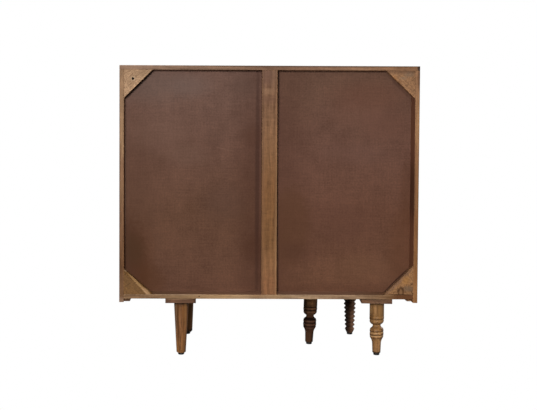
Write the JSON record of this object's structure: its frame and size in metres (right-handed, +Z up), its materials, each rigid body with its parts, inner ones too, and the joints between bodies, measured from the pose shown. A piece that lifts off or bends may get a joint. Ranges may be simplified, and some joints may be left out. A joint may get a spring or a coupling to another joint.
{
  "type": "bar cabinet",
  "caption": "Wooden bar cabinet with double doors, shelves, glass and bottle rails, recessed back panels and corner blocks, on turned legs of mixed patterns.",
  "frame": {"origin": "on the floor, under the middle of the cabinet's outer box", "axes": "+X to the right as seen from the front, +Y towards the framed back, +Z up"},
  "size_m": [1, 0.451, 0.984],
  "materials": {
    "carcass_wood": "stained hardwood boards, satin",
    "gusset_wood": "sawn hardwood blocks, satin",
    "plate_wood": "sawn hardwood blocks, matt",
    "door_wood": "framed hardwood, satin",
    "hardboard": "smooth brown hardboard, matt",
    "leg_brown": "turned hardwood, waxed",
    "leg_golden": "turned hardwood, waxed",
    "leg_dark": "turned hardwood, dark stain",
    "leg_carved": "turned and carved hardwood, dark stain",
    "leg_black": "turned hardwood, near-black stain",
    "glide_plastic": "moulded black",
    "catch_plastic": "moulded brown",
    "zinc_steel": "zinc plated",
    "hinge_brass": "aged"
  },
  "bodies": {
    "cabinet": {"top_board": "carcass_wood", "side_left": "carcass_wood", "side_right": "carcass_wood", "bottom_board": "carcass_wood", "cleat_left": "carcass_wood", "cleat_right": "carcass_wood", "centre_partition": "carcass_wood", "rear_stile": "carcass_wood", "shelf_left": "carcass_wood", "shelf_right": "carcass_wood", "stemware_rails": "carcass_wood", "bottle_rail_front": "carcass_wood", "bottle_rail_rear": "carcass_wood", "gusset_upper_right": "gusset_wood", "gusset_upper_left": "gusset_wood", "gusset_lower_right": "gusset_wood", "gusset_lower_left": "gusset_wood", "back_panel_left": "hardboard", "back_panel_right": "hardboard", "leg_plate_rear_right": "plate_wood", "leg_rear_right": "leg_brown", "glide_rear_right": "glide_plastic", "leg_plate_rear_left": "plate_wood", "leg_rear_left": "leg_golden", "glide_rear_left": "glide_plastic", "leg_plate_front_right": "plate_wood", "leg_front_right": "leg_black", "glide_front_right": "glide_plastic", "leg_plate_front_left": "plate_wood", "leg_front_left": "leg_carved", "glide_front_left": "glide_plastic", "leg_plate_middle": "plate_wood", "leg_middle": "leg_dark", "glide_middle": "glide_plastic", "leg_plate_screws": "zinc_steel", "leg_bolts": "zinc_steel", "shelf_pins": "zinc_steel", "hinge_carcass_leaves": "hinge_brass", "hinge_carcass_screws": "hinge_brass", "hinge_pins": "hinge_brass", "left_catch": "catch_plastic", "right_catch": "catch_plastic"},
    "left_door": {"left_door_hinge_stile": "door_wood", "left_door_lock_stile": "door_wood", "left_door_bottom_rail": "door_wood", "left_door_top_rail": "door_wood", "left_door_panel": "door_wood", "left_door_knob": "hinge_brass", "left_door_strike": "zinc_steel", "left_hinge_door_leaves": "hinge_brass", "left_hinge_door_screws": "hinge_brass"},
    "right_door": {"right_door_hinge_stile": "door_wood", "right_door_lock_stile": "door_wood", "right_door_bottom_rail": "door_wood", "right_door_top_rail": "door_wood", "right_door_panel": "door_wood", "right_door_knob": "hinge_brass", "right_door_strike": "zinc_steel", "right_hinge_door_leaves": "hinge_brass", "right_hinge_door_screws": "hinge_brass"}
  },
  "joints": [
    {"name": "left_door_hinge", "type": "hinge", "parent": "cabinet", "child": "left_door", "pos_m": [-0.4834, -0.2033, 0.594], "axis": [0, 0, -1], "range_deg": [0, 180]},
    {"name": "right_door_hinge", "type": "hinge", "parent": "cabinet", "child": "right_door", "pos_m": [0.4834, -0.2033, 0.594], "axis": [0, 0, 1], "range_deg": [0, 180]}
  ]
}
